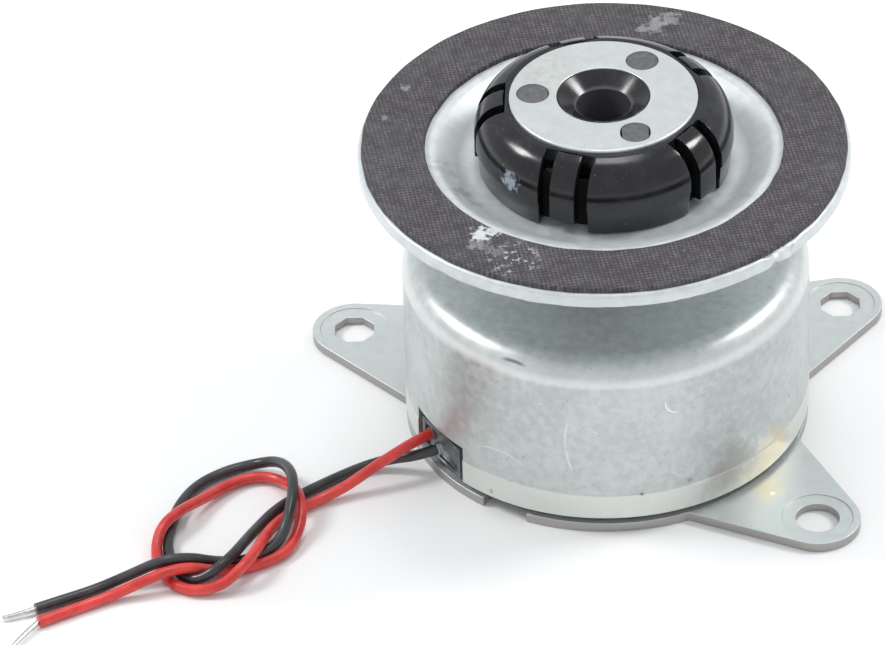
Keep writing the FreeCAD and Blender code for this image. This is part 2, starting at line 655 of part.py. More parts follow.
BLACK_ROUTE = [
    (-10.2, -5.55, 1.45), (-11.6, -6.35, 1.2), (-13.0, -6.5, 0.7), (-14.5, -6.3, 0.36),
    (-16.0, -6.9, 0.34), (-17.5, -7.8, 0.34), (-18.9, -8.9, 0.34), (-20.1, -10.3, 0.36),
    (-21.0, -12.0, 0.7), (-21.5, -13.7, 1.15), (-22.1, -15.1, 1.15), (-23.2, -16.0, 0.7),
    (-24.6, -16.2, 0.36), (-25.8, -15.6, 0.34), (-26.5, -14.2, 0.34), (-26.3, -12.6, 0.34),
    (-26.0, -11.0, 0.34), (-25.8, -9.5, 0.34), (-25.2, -8.1, 0.34), (-24.1, -6.8, 0.34),
    (-22.5, -5.7, 0.34), (-20.8, -5.4, 0.5), (-19.4, -5.9, 1.15), (-18.6, -7.2, 1.75),
    (-18.55, -8.9, 1.65), (-18.8, -10.6, 1.15), (-19.3, -12.1, 0.5), (-20.2, -13.2, 0.34),
    (-21.5, -13.8, 0.34), (-23.0, -13.9, 0.4), (-24.4, -14.2, 0.95), (-25.8, -14.5, 1.2),
    (-27.2, -14.8, 1.1), (-28.6, -15.3, 0.6), (-30.2, -16.0, 0.34), (-31.8, -16.9, 0.36),
    (-33.3, -17.6, 0.34),
]
# The bare tinned ends go on from the insulation.
RED_END = [(-33.1, -18.8, 0.34), (-33.8, -19.6, 0.3), (-34.5, -20.7, 0.24)]
BLACK_END = [(-33.3, -17.6, 0.34), (-34.2, -18.0, 0.3), (-35.2, -18.2, 0.24)]


def smooth_path(route, label):
    """Straight runs joined by tangent arcs, each as large as its two runs allow."""
    spots = [FreeCAD.Vector(*spot) for spot in route]
    start = spots[0]
    edges = []
    radii = []
    for before, corner, after in zip(spots, spots[1:], spots[2:]):
        arriving = corner - before
        leaving = after - corner
        trim = TRIM_SHARE * min(arriving.Length, leaving.Length)
        arriving.normalize()
        leaving.normalize()
        half_turn = arriving.getAngle(leaving) / 2
        radius = trim / math.tan(half_turn)
        radii.append(radius)
        inward = (leaving - arriving).normalize()
        middle = corner + inward * (radius / math.cos(half_turn) - radius)
        edges.append(Part.LineSegment(start, corner - arriving * trim).toShape())
        start = corner + leaving * trim
        edges.append(Part.Arc(corner - arriving * trim, middle, start).toShape())
    edges.append(Part.LineSegment(start, spots[-1]).toShape())
    print("%s bends: %s mm" % (label, " ".join("%.1f" % radius for radius in radii)))
    return Part.Wire(edges)


def make_lead(label, route, radius):
    """A round wire swept along its route."""
    path = smooth_path(route, label)
    direction = FreeCAD.Vector(*route[1]) - FreeCAD.Vector(*route[0])
    section = Part.Wire(Part.makeCircle(radius, FreeCAD.Vector(*route[0]), direction))
    tube = path.makePipeShell([section], True, False)
    expected = math.pi * radius ** 2 * path.Length
    print("%s: length %.2f mm, volume %.3f of %.3f mm3" % (label, path.Length, tube.Volume, expected))
    if abs(tube.Volume / expected - 1) > TUBE_TOLERANCE:
        raise RuntimeError(label + " is not a whole tube")
    feature = document.addObject("Part::Feature", label + "_shape")
    feature.Shape = tube
    return keep(feature, label, FreeCAD.Placement())


# ---------------------------------------------------------------- assembly

def check():
    """Stop if an object failed or a sub-part has no valid shape."""
    for thing in document.Objects:
        if "Invalid" in thing.State or "Error" in thing.State:
            raise RuntimeError("%s failed: %s" % (thing.Name, thing.State))
    for part in parts:
        if part.Shape.isNull() or not part.Shape.isValid():
            raise RuntimeError("%s has no valid shape" % part.Label)


make_mounting_plate()
make_motor_can()
make_brush_card()
make_lead_bushing()
ring("lower_bearing", "bearing_bore", "bearing_radius", "bearing_foot", "bearing_head")
ring("upper_bearing", "bearing_bore", "upper_bearing_radius", "upper_bearing_foot", "upper_bearing_head")
ring("thrust_pad", "", "bearing_radius", "plate_thick", "pad_head")
make_field()
make_brush_gear()
ring("motor_shaft", "", "shaft_radius", "shaft_foot", "shaft_head")
make_armature()
make_commutator()
ring("lower_washer", "shaft_radius", "washer_radius", "washer_foot", "sleeve_foot")
ring("upper_spacer", "shaft_radius", "washer_radius", "spacer_foot", "spacer_head")
make_turntable()
make_centering_hub()
make_fingers()
make_clamp_plate()
make_lead("red_lead", RED_ROUTE, size("lead_radius"))
make_lead("black_lead", BLACK_ROUTE, size("lead_radius"))
make_lead("red_lead_end", RED_END, size("core_wire_radius"))
make_lead("black_lead_end", BLACK_END, size("core_wire_radius"))

document.recompute()
check()
os.makedirs("parts", exist_ok=True)
for part in parts:
    part.Shape.exportStep("parts/%s.step" % part.Label)
    print("%-24s %10.3f mm3  %s" % (part.Label, part.Shape.Volume, part.Shape.BoundBox))
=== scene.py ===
import json
import math

import bmesh
import bpy
from mathutils import Matrix, Quaternion, Vector, noise


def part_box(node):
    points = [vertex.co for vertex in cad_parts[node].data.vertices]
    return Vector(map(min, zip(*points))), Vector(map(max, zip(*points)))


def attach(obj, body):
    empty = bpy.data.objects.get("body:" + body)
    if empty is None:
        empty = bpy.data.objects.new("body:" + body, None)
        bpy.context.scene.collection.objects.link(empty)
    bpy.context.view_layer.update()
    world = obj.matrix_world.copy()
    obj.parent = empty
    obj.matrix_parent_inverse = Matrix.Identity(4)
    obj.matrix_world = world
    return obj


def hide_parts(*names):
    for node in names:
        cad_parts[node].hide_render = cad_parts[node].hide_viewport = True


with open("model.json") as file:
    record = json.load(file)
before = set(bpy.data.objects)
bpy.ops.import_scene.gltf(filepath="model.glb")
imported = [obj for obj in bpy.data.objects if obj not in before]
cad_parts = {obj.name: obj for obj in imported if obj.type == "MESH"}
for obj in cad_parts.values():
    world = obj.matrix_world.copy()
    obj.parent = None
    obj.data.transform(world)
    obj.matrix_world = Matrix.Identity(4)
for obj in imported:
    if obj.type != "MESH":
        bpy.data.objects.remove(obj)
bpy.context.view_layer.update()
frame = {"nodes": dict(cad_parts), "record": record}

# A spindle motor with a disc turntable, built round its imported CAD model.
# Sizes are in millimetres and become metres where a mesh or a curve is made.

MM = 0.001

IMAGE_WIDTH = 885.0
FOCAL_PIXELS = 6999.8
SENSOR = 36.0
CAMERA_TARGET = (-9.59, 0.0, 6.51)
CAMERA_DISTANCE = 409.7
CAMERA_ELEVATION = 37.52
CAMERA_ROLL = -1.775

HUB_ANGLE = 33.0
FINGERS = 5
LEAD_ANGLE = -148.5
RIVET_ANGLES = (54.5, 174.5, -65.5)
RIVET_PITCH = 4.05
RIVET_FLAT = 0.76

LEAD_DIAMETER = 0.64
WIRE_DIAMETER = 0.32

slots = {row["node"]: row["material_slot"] for row in frame["record"]["subparts"]}


def low(node):
    """The lowest corner of a CAD node, in millimetres."""
    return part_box(node)[0] / MM


def high(node):
    """The highest corner of a CAD node, in millimetres."""
    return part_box(node)[1] / MM


# ---------------------------------------------------------------- camera

def make_camera():
    """A long lens at the photograph's viewing angle."""
    elevation = math.radians(CAMERA_ELEVATION)
    back = Vector((0, -math.cos(elevation), math.sin(elevation)))
    data = bpy.data.cameras.new("camera")
    data.sensor_width = SENSOR
    data.lens = FOCAL_PIXELS * SENSOR / IMAGE_WIDTH
    camera = bpy.data.objects.new("camera", data)
    bpy.context.scene.collection.objects.link(camera)
    camera.location = (Vector(CAMERA_TARGET) + back * CAMERA_DISTANCE) * MM
    camera.rotation_mode = "QUATERNION"
    roll = Quaternion((0, 0, 1), math.radians(CAMERA_ROLL))
    camera.rotation_quaternion = (-back).to_track_quat("-Z", "Y") @ roll
    bpy.context.scene.camera = camera


# ---------------------------------------------------------------- leads

# Each route's points are the control points of one smooth line, from the bushing's face through
# the loose knot to the end of the insulation. Heights lift where one lead passes over another.
RED_ROUTE = [
    (-10.5, -5.0, 2.2), (-11.6, -5.75, 2.15), (-12.8, -6.45, 1.8), (-14.1, -7.1, 1.3),
    (-15.5, -7.75, 0.65), (-17.0, -8.5, 0.36), (-18.3, -9.3, 0.34), (-19.4, -10.4, 0.4),
    (-20.1, -12.2, 0.95), (-20.7, -14.2, 1.3), (-21.5, -15.6, 1.25), (-22.7, -16.4, 0.6),
    (-24.2, -16.5, 0.34), (-25.4, -15.9, 0.34), (-26.2, -14.6, 0.34), (-26.55, -12.8, 0.38),
    (-26.2, -11.3, 1.0), (-25.1, -10.0, 1.1), (-23.7, -8.2, 0.5), (-21.9, -6.5, 0.34),
    (-20.2, -6.1, 0.34), (-18.9, -7.1, 0.55), (-18.25, -8.8, 1.25), (-18.0, -10.3, 1.1),
    (-18.3, -11.8, 0.5), (-19.0, -13.3, 0.34), (-20.3, -14.15, 0.34), (-21.6, -14.65, 0.34),
    (-23.0, -14.8, 0.4), (-24.4, -15.1, 1.0), (-25.7, -15.6, 1.2), (-27.3, -16.2, 0.9),
    (-29.0, -16.7, 0.36), (-31.0, -17.7, 0.34), (-33.1, -18.8, 0.34),
]
BLACK_ROUTE = [
    (-10.2, -5.55, 1.45), (-11.4, -5.85, 1.25), (-12.7, -5.5, 0.85), (-14.0, -5.4, 0.4),
    (-15.4, -6.1, 0.34), (-16.9, -7.1, 0.34), (-18.3, -8.1, 0.34), (-19.6, -9.3, 0.34),
    (-20.6, -10.9, 0.4), (-21.3, -12.7, 0.9), (-22.0, -14.4, 1.25), (-22.9, -15.5, 1.15),
    (-24.0, -15.7, 0.5), (-25.0, -15.1, 0.34), (-25.5, -14.0, 0.34), (-25.9, -12.3, 0.34),
    (-25.6, -10.4, 0.34), (-25.3, -8.8, 0.34), (-24.3, -6.9, 0.34), (-22.6, -5.6, 0.34),
    (-20.8, -5.1, 0.45), (-19.4, -5.8, 1.2), (-18.6, -7.7, 1.95), (-18.5, -9.6, 1.95),
    (-18.8, -11.3, 1.45), (-19.3, -12.6, 0.75), (-20.2, -13.3, 0.45), (-21.4, -13.9, 0.34),
    (-23.0, -14.1, 0.5), (-24.5, -14.4, 1.15), (-26.1, -14.9, 1.4), (-28.0, -15.3, 0.7),
    (-30.0, -16.1, 0.34), (-31.8, -16.9, 0.34), (-33.3, -17.6, 0.34),
]
RED_END = [(-33.1, -18.8, 0.34), (-33.8, -19.6, 0.3), (-34.5, -20.7, 0.24)]
BLACK_END = [(-33.3, -17.6, 0.34), (-34.2, -18.0, 0.3), (-35.2, -18.2, 0.24)]
STRANDS = 7
STRAND_TWIST = 1.6
STRAND_GROOVE = 0.20
TIP_TAPER = 0.25
TIP_FLATTENING = 0.2


def smooth_line(name, route):
    """One smooth open curve with the route's points as its control points."""
    curve = bpy.data.curves.new(name, "CURVE")
    curve.dimensions = "3D"
    spline = curve.splines.new("NURBS")
    spline.points.add(len(route) - 1)
    for point, spot in zip(spline.points, route):
        point.co = (*(Vector(spot) * MM), 1)
    spline.order_u = 3
    spline.use_endpoint_u = True
    curve.resolution_u = 10
    piece = bpy.data.objects.new(name, curve)
    bpy.context.scene.collection.objects.link(piece)
    return piece


def line_points(line):
    """The points along a smooth line that has no thickness yet."""
    mesh = bpy.data.meshes.new_from_object(line)
    points = [vertex.co.copy() for vertex in mesh.vertices]
    bpy.data.meshes.remove(mesh)
    return points


def strand_bundle(name, route):
    """A tinned wire end: a sweep whose section has one bulge for each twisted strand."""
    line = smooth_line(name + "_line", route)
    path = line_points(line)
    bpy.data.objects.remove(line)
    sides = STRANDS * 6
    made = bmesh.new()
    rings = []
    travelled = 0.0
    for index, point in enumerate(path):
        ahead = path[min(index + 1, len(path) - 1)] - path[max(index - 1, 0)]
        across = ahead.cross(Vector((0, 0, 1))).normalized()
        upward = across.cross(ahead).normalized()
        if index:
            travelled += (point - path[index - 1]).length
        share = index / (len(path) - 1)
        ring = []
        for side in range(sides):
            turn = 2 * math.pi * side / sides
            twist = 2 * math.pi * travelled / (STRAND_TWIST * MM)
            bulge = 1 - STRAND_GROOVE + STRAND_GROOVE * abs(math.cos((turn + twist) * STRANDS / 2))
            reach = WIRE_DIAMETER / 2 * MM * bulge * (1 - TIP_TAPER * share ** 4)
            flat = 1 - TIP_FLATTENING * share
            ring.append(made.verts.new(point + across * reach * math.cos(turn)
                                       + upward * reach * flat * math.sin(turn)))
        rings.append(ring)
    for one, two in zip(rings, rings[1:]):
        for side in range(sides):
            after = (side + 1) % sides
            made.faces.new((one[side], one[after], two[after], two[side]))
    made.faces.new(list(reversed(rings[0])))
    made.faces.new(rings[-1])
    return mesh_piece(name, made)


def make_lead(colour, route, end_route):
    """One insulated lead with its bare end."""
    lead = smooth_line(colour + "_insulation", route)
    lead.data.bevel_depth = LEAD_DIAMETER / 2 * MM
    lead.data.bevel_resolution = 8
    lead.data.use_fill_caps = True
    tip = strand_bundle(colour + "_strands", end_route)
    give(lead, "housing", colour + "_pvc", colour + "_lead")
    give(tip, "housing", "tinned_wire", colour + "_lead_end")


# ---------------------------------------------------------------- mesh helpers

SHARP_ANGLE = 35.0
BEVEL_ANGLE = 30.0
BEVEL_SEGMENTS = 3


def mesh_piece(name, made):
    """An object from a bmesh, smooth but for its sharp edges."""
    mesh = bpy.data.meshes.new(name)
    bmesh.ops.recalc_face_normals(made, faces=made.faces)
    if made.calc_volume(signed=True) < 0:
        bmesh.ops.reverse_faces(made, faces=made.faces)
    made.to_mesh(mesh)
    made.free()
    piece = bpy.data.objects.new(name, mesh)
    bpy.context.scene.collection.objects.link(piece)
    smooth(piece)
    return piece


def smooth(piece):
    """Shade a piece smooth, and keep its sharp edges sharp."""
    for face in piece.data.polygons:
        face.use_smooth = True
    piece.data.set_sharp_from_angle(angle=math.radians(SHARP_ANGLE))


def rounded(corners, steps=6):
    """The outline through corners given as radius, height and, where it is round, its rounding."""
    outline = []
    count = len(corners)
    for index, corner in enumerate(corners):
        here = Vector(corner[:2])
        if len(corner) < 3:
            outline.append(here)
            continue
        before = (Vector(corners[index - 1][:2]) - here).normalized()
        after = (Vector(corners[(index + 1) % count][:2]) - here).normalized()
        half = before.angle(after) / 2
        reach = corner[2] / math.tan(half)
        centre = here + (before + after).normalized() * corner[2] / math.sin(half)
        first = here + before * reach - centre
        last = here + after * reach - centre
        sweep = first.angle_signed(last)
        for step in range(steps + 1):
            turn = Matrix.Rotation(-sweep * step / steps, 2)
            outline.append(centre + turn @ first)
    return outline


def lathe(name, corners, steps=240, rounding_steps=6):
    """A closed outline turned about the spindle."""
    outline = rounded(corners, rounding_steps)
    made = bmesh.new()
    rings = []
    for step in range(steps):
        turn = 2 * math.pi * step / steps
        across = math.cos(turn) * MM
        along = math.sin(turn) * MM
        rings.append([made.verts.new((radius * across, radius * along, height * MM))
                      for radius, height in outline])
    count = len(outline)
    for step in range(steps):
        one = rings[step]
        two = rings[(step + 1) % steps]
        for index in range(count):
            after = (index + 1) % count
            made.faces.new((one[index], two[index], two[after], one[after]))
    bmesh.ops.remove_doubles(made, verts=made.verts, dist=1e-7)
    return mesh_piece(name, made)


def box_at(name, near, far, half_width, foot, head, angle):
    """A box that points outwards from the spindle at an angle."""
    made = bmesh.new()
    bmesh.ops.create_cube(made, size=1.0)
    for vertex in made.verts:
        vertex.co = Vector(((near + far) / 2 + vertex.co.x * (far - near), vertex.co.y * 2 * half_width,
                            (foot + head) / 2 + vertex.co.z * (head - foot))) * MM
    made.transform(Matrix.Rotation(math.radians(angle), 4, "Z"))
    return mesh_piece(name, made)


def pin_at(name, pitch, angle, radius, foot, head, steps=48):
    """An upright pin at a distance and an angle from the spindle."""
    made = bmesh.new()
    bmesh.ops.create_cone(made, cap_ends=True, segments=steps, radius1=radius * MM, radius2=radius * MM,
                          depth=(head - foot) * MM)
    made.transform(Matrix.Rotation(math.radians(angle), 4, "Z")
                   @ Matrix.Translation(Vector((pitch, 0, (foot + head) / 2)) * MM))
    return mesh_piece(name, made)


def settle(piece):
    """Apply a piece's modifiers."""
    graph = bpy.context.evaluated_depsgraph_get()
    mesh = bpy.data.meshes.new_from_object(piece.evaluated_get(graph))
    piece.modifiers.clear()
    piece.data = mesh


def carve(piece, tools, operation="DIFFERENCE"):
    """Cut tools out of a piece, or keep what they share."""
    for tool in tools:
        change = piece.modifiers.new("carve", "BOOLEAN")
        change.operation = operation
        change.object = tool
        change.solver = "EXACT"
    bpy.context.view_layer.update()
    settle(piece)
    for tool in tools:
        bpy.data.objects.remove(tool)


def soften(piece, width):
    """Break a piece's sharp edges, and keep its flats flat."""
    bevel = piece.modifiers.new("soften", "BEVEL")
    bevel.width = width * MM
    bevel.segments = BEVEL_SEGMENTS
    bevel.limit_method = "ANGLE"
    bevel.angle_limit = math.radians(BEVEL_ANGLE)
    bevel.use_clamp_overlap = True
    bpy.context.view_layer.update()
    settle(piece)
    smooth(piece)
    weighted = piece.modifiers.new("normals", "WEIGHTED_NORMAL")
    weighted.keep_sharp = True


def turn_mesh(piece, angle):
    """Turn a piece's mesh about the spindle."""
    piece.data.transform(Matrix.Rotation(math.radians(angle), 4, "Z"))


def give(piece, body, slot, *nodes):
    """Put a finished piece on its body, in its finish, in place of CAD nodes."""
    piece.data.materials.clear()
    piece.data.materials.append(finish(slot))
    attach(piece, body)
    if nodes:
        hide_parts(*nodes)


# ---------------------------------------------------------------- finishes

finishes = {}


class Finish:
    """A procedural material: one Principled shader and the nodes that feed it."""

    def __init__(self, name, roughness=0.5, metallic=0.0, **uniform):
        """Begin a material whose uniform sockets are named with underscores for spaces."""
        self.material = bpy.data.materials.new(name)
        self.material.use_nodes = True
        self.tree = self.material.node_tree
        self.shader = self.tree.nodes["Principled BSDF"]
        self.set("Roughness", roughness)
        self.set("Metallic", metallic)
        for socket, value in uniform.items():
            self.set(socket.replace("_", " "), value)
        self.place = self.add("ShaderNodeTexCoord").outputs["Object"]

    def set(self, socket, value):
        """Give one of the shader's sockets a number, a colour or another node's output."""
        if isinstance(value, bpy.types.NodeSocket):
            self.tree.links.new(value, self.shader.inputs[socket])
        else:
            self.shader.inputs[socket].default_value = value

    def add(self, kind, inputs=None, **settings):
        """A new node, with its settings and its inputs given or linked."""
        node = self.tree.nodes.new(kind)
        for name, value in settings.items():
            setattr(node, name, value)
        for name, value in (inputs or {}).items():
            if isinstance(value, bpy.types.NodeSocket):
                self.tree.links.new(value, node.inputs[name])
            else:
                node.inputs[name].default_value = value
        return node

    def math(self, operation, one, two=0.0):
        """One sum on numbers or other nodes' outputs."""
        return self.add("ShaderNodeMath", {0: one, 1: two}, operation=operation).outputs[0]

    def noise(self, size, detail=3.0, rough=0.55, shift=(0, 0, 0)):
        """Cloudy noise whose blotches are about size millimetres across."""
        place = self.add("ShaderNodeMapping", {"Vector": self.place, "Location": shift})
        texture = self.add("ShaderNodeTexNoise", {
            "Vector": place.outputs[0], "Scale": 1 / (size * MM), "Detail": detail, "Roughness": rough})
        return texture.outputs[0]

    def range(self, value, from_low, from_high, to_low=0.0, to_high=1.0):
        """A value eased from one range into another."""
        node = self.add("ShaderNodeMapRange", {
            "Value": value, "From Min": from_low, "From Max": from_high,
            "To Min": to_low, "To Max": to_high}, interpolation_type="SMOOTHSTEP")
        return node.outputs[0]

    def mix(self, share, one, two):
        """One colour turning into another."""
        node = self.add("ShaderNodeMix", data_type="RGBA")
        for index, value in ((0, share), (6, one), (7, two)):
            if isinstance(value, bpy.types.NodeSocket):
                self.tree.links.new(value, node.inputs[index])
            elif index == 0:
                node.inputs[0].default_value = value
            else:
                node.inputs[index].default_value = (*value, 1.0)
        return node.outputs[2]

    def near(self, spot, reach, ragged=0.0):
        """1 within reach of a spot given in millimetres, 0 beyond, with a soft ragged edge."""
        distance = self.add("ShaderNodeVectorMath", {0: self.place, 1: Vector(spot) * MM},
                            operation="DISTANCE").outputs["Value"]
        if ragged:
            cloud = self.math("SUBTRACT", self.noise(reach / 2, detail=4.0), 0.5)
            distance = self.math("ADD", distance, self.math("MULTIPLY", cloud, 3 * ragged * reach * MM))
        return self.range(distance, reach * MM, reach * 0.35 * MM)

    def scratch(self, middle, centre, half_length, width):
        """A thin line through a middle spot, part of the circle about a centre."""
        away = self.add("ShaderNodeVectorMath", {0: self.place, 1: Vector(centre) * MM},
                        operation="DISTANCE").outputs["Value"]
        radius = (Vector(middle) - Vector(centre)).length
        off_line = self.math("ABSOLUTE", self.math("SUBTRACT", away, radius * MM))
        line = self.range(off_line, width * MM, width * 0.3 * MM)
        return self.math("MULTIPLY", line, self.near(middle, half_length))

    def along(self, axis):
        """The place along one axis, in metres."""
        return self.add("ShaderNodeSeparateXYZ", {0: self.place}).outputs[axis]

    def from_spindle(self):
        """The distance from the spindle's axis, in metres."""
        flat = self.add("ShaderNodeVectorMath", {0: self.place, 1: (1, 1, 0)}, operation="MULTIPLY")
        return self.add("ShaderNodeVectorMath", {0: flat.outputs[0]}, operation="LENGTH").outputs["Value"]

    def stain(self, colour, spot, reach, tint, strength, ragged=0.5):
        """Tint the colour round a spot."""
        share = self.math("MULTIPLY", self.near(spot, reach, ragged), strength)
        return self.mix(share, colour, tint)

    def bump(self, height, strength, distance):
        """Raise the surface by a height from 0 to 1 times a distance in millimetres."""
        inputs = {"Height": height, "Strength": strength, "Distance": distance * MM}
        if self.shader.inputs["Normal"].is_linked:
            inputs["Normal"] = self.shader.inputs["Normal"].links[0].from_socket
        self.set("Normal", self.add("ShaderNodeBump", inputs).outputs[0])


def on_wall(angle, height, radius=11.86):
    """A spot on an upright wall about the spindle, by default the can's."""
    turn = math.radians(angle)
    return (radius * math.cos(turn), radius * math.sin(turn), height)


def zinc(name, tone, roughness, contrast, grain, metallic=0.6):
    """Zinc plated steel: satin grey with a fine, faint crystalline mottle."""
    made = Finish(name, metallic=metallic)
    fine = made.noise(grain, detail=4.0, rough=0.6)
    broad = made.noise(grain * 8, detail=2.0, shift=(3, 1, 2))
    share = made.math("ADD", made.math("MULTIPLY", fine, 0.6), made.math("MULTIPLY", broad, 0.4))
    dark = [value * (1 - contrast) for value in tone]
    light = [value * (1 + contrast) for value in tone]
    colour = made.mix(made.range(share, 0.36, 0.64), dark, light)
    made.set("Roughness", made.range(fine, 0.3, 0.7, roughness - 0.04, roughness + 0.06))
    made.bump(made.noise(grain * 0.7, detail=3.0), 0.12, 0.02)
    return made, colour


WARM = (0.66, 0.57, 0.40)
BROWN = (0.36, 0.32, 0.29)
# the pink tint is a painted reflection of the red lead on the can
PAINTED_RED_REFLECTION = (0.42, 0.31, 0.33)
SOOT = (0.12, 0.13, 0.13)
PALE = (0.92, 0.93, 0.92)

# each stain on the can's wall, and the pink painted reflection of the red lead: angle, height, reach, tint
# and strength
CAN_STAINS_AND_REFLECTIONS = [
    (-39.0, 1.9, 2.6, WARM, 0.75), (-35.0, 2.4, 1.2, WARM, 0.5), (-54.0, 2.9, 2.2, BROWN, 0.45),
    (-60.0, 2.2, 1.4, BROWN, 0.25), (-141.0, 4.9, 1.5, PAINTED_RED_REFLECTION, 0.2), (-137.0, 6.3, 1.2, PAINTED_RED_REFLECTION, 0.12),
    (-82.4, 2.66, 0.16, SOOT, 0.8), (-68.4, 3.0, 0.26, SOOT, 0.45), (-126.4, 1.45, 0.2, SOOT, 0.5),
    (-98.0, 11.75, 0.45, SOOT, 0.5), (-78.0, 11.75, 0.4, SOOT, 0.5), (-29.0, 4.8, 0.2, SOOT, 0.4),
]
# each pale scratch on it: its middle, the middle of the circle it is part of, half length, width, strength
CAN_SCRATCHES = [
    ((-74.6, 8.5), (-71.6, 9.0), 0.85, 0.06, 0.9), ((-123.0, 4.65), (-124.2, 1.8), 2.2, 0.05, 0.5),
    ((-103.6, 6.9), (-75.0, 6.4), 1.4, 0.10, 0.35), ((-102.8, 5.1), (-85.0, 6.0), 0.9, 0.10, 0.45),
    ((-72.0, 3.6), (-66.0, 5.0), 0.6, 0.05, 0.4), ((-96.0, 7.4), (-80.0, 12.0), 0.5, 0.05, 0.3),
]


def make_zinc_steel():
    """The can: a paler foot band, a painted highlight round the shoulder, stains, a pink painted reflection
    of the red lead, a dent mark and scratches.
    """
    made, colour = zinc("zinc_steel", (0.52, 0.56, 0.55), 0.36, contrast=0.11, grain=0.55)
    specks = made.range(made.noise(0.22, detail=1.0, shift=(7, 2, 5)), 0.70, 0.76)
    colour = made.mix(made.math("MULTIPLY", specks, 0.45), colour, (0.22, 0.24, 0.24))
    height = made.along("Z")
    band = made.range(height, (BAND_TOP + 0.1) * MM, BAND_TOP * MM)
    colour = made.mix(made.math("MULTIPLY", band, 0.7), colour, (0.76, 0.77, 0.72))
    # Painted highlight: a pale band painted round the shoulder's rounding.
    above = made.range(height, 10.25 * MM, 10.6 * MM)
    below = made.range(height, 12.0 * MM, 11.3 * MM)
    colour = made.mix(made.math("MULTIPLY", made.math("MULTIPLY", above, below), 0.35), colour, PALE)
    for angle, level, reach, tint, strength in CAN_STAINS_AND_REFLECTIONS:
        colour = made.stain(colour, on_wall(angle, level), reach, tint, strength)
    for middle, centre, half_length, width, strength in CAN_SCRATCHES:
        line = made.scratch(on_wall(*middle), on_wall(*centre), half_length, width)
        colour = made.mix(made.math("MULTIPLY", line, strength), colour, PALE)
    dent = made.scratch(on_wall(-119.0, 11.35, 11.7), on_wall(-119.5, 7.0, 11.7), 0.95, 0.12)
    colour = made.mix(made.math("MULTIPLY", dent, 0.75), colour, SOOT)
    made.set("Base Color", colour)
    made.bump(dent, -0.6, 0.05)
    return made


def make_plate_steel():
    """The plate: bright zinc with one stain and a fleck, and duller where the tool sheared it."""
    made, colour = zinc("plate_steel", (0.65, 0.695, 0.69), 0.38, contrast=0.03, grain=0.6)
    colour = made.stain(colour, (9.0, -9.1, 0.6), 1.3, (0.80, 0.74, 0.55), 0.55)
    colour = made.stain(colour, (9.24, -9.55, 0.6), 0.22, (1.0, 1.0, 0.97), 0.9, ragged=1.0)
    upright = made.add("ShaderNodeSeparateXYZ", {0: made.add("ShaderNodeNewGeometry").outputs["True Normal"]})
    sheared = made.range(made.math("ABSOLUTE", upright.outputs["Z"]), 0.7, 0.2)
    made.set("Base Color", made.mix(sheared, colour, (0.40, 0.385, 0.37)))
    return made


# each scuff in the turntable's dish: its spot, reach and strength
DISH_SCUFFS = [
    ((-9.3, -1.4, 18.6), 0.9, 0.35), ((-8.4, -3.4, 18.3), 0.7, 0.4), ((-7.6, -4.4, 18.1), 0.5, 0.5),
]


def make_turntable_steel():
    """The turntable: smooth pale zinc with scuffs in the dish."""
    made, colour = zinc("turntable_steel", (0.66, 0.70, 0.71), 0.42, contrast=0.07, grain=0.7, metallic=0.3)
    for spot, reach, strength in DISH_SCUFFS:
        colour = made.stain(colour, spot, reach, (0.30, 0.32, 0.33), strength, ragged=1.2)
    made.set("Base Color", colour)
    return made


def make_clamp_steel():
    """The clamp plate: smoother zinc, worn near one rivet."""
    made, colour = zinc("clamp_steel", (0.665, 0.70, 0.69), 0.30, contrast=0.02, grain=0.8)
    worn = made.math("MULTIPLY", made.near((-3.6, 2.6, 22.5), 3.0), made.range(made.noise(0.5), 0.45, 0.62))
    colour = made.mix(made.math("MULTIPLY", worn, 0.35), colour, (0.50, 0.49, 0.45))
    made.set("Base Color", colour)
    return made


WEAVE_PITCH = 0.34
WEAVE_ANGLE = 36.0
CHALK = (0.60, 0.64, 0.66)

# each pale smear on the mat: its spot, reach and strength
MAT_SMEARS = [
    ((-7.2, -8.45), 0.75, 1.0), ((-6.5, -8.2), 0.5, 0.8), ((-7.4, -9.5), 0.7, 0.25),
    ((-6.4, -10.2), 0.6, 0.15),
    ((3.3, 11.3), 1.0, 0.30), ((4.3, 12.0), 0.8, 0.25), ((-11.3, 5.9), 0.4, 0.25), ((-12.6, 3.0), 0.3, 0.25),
]


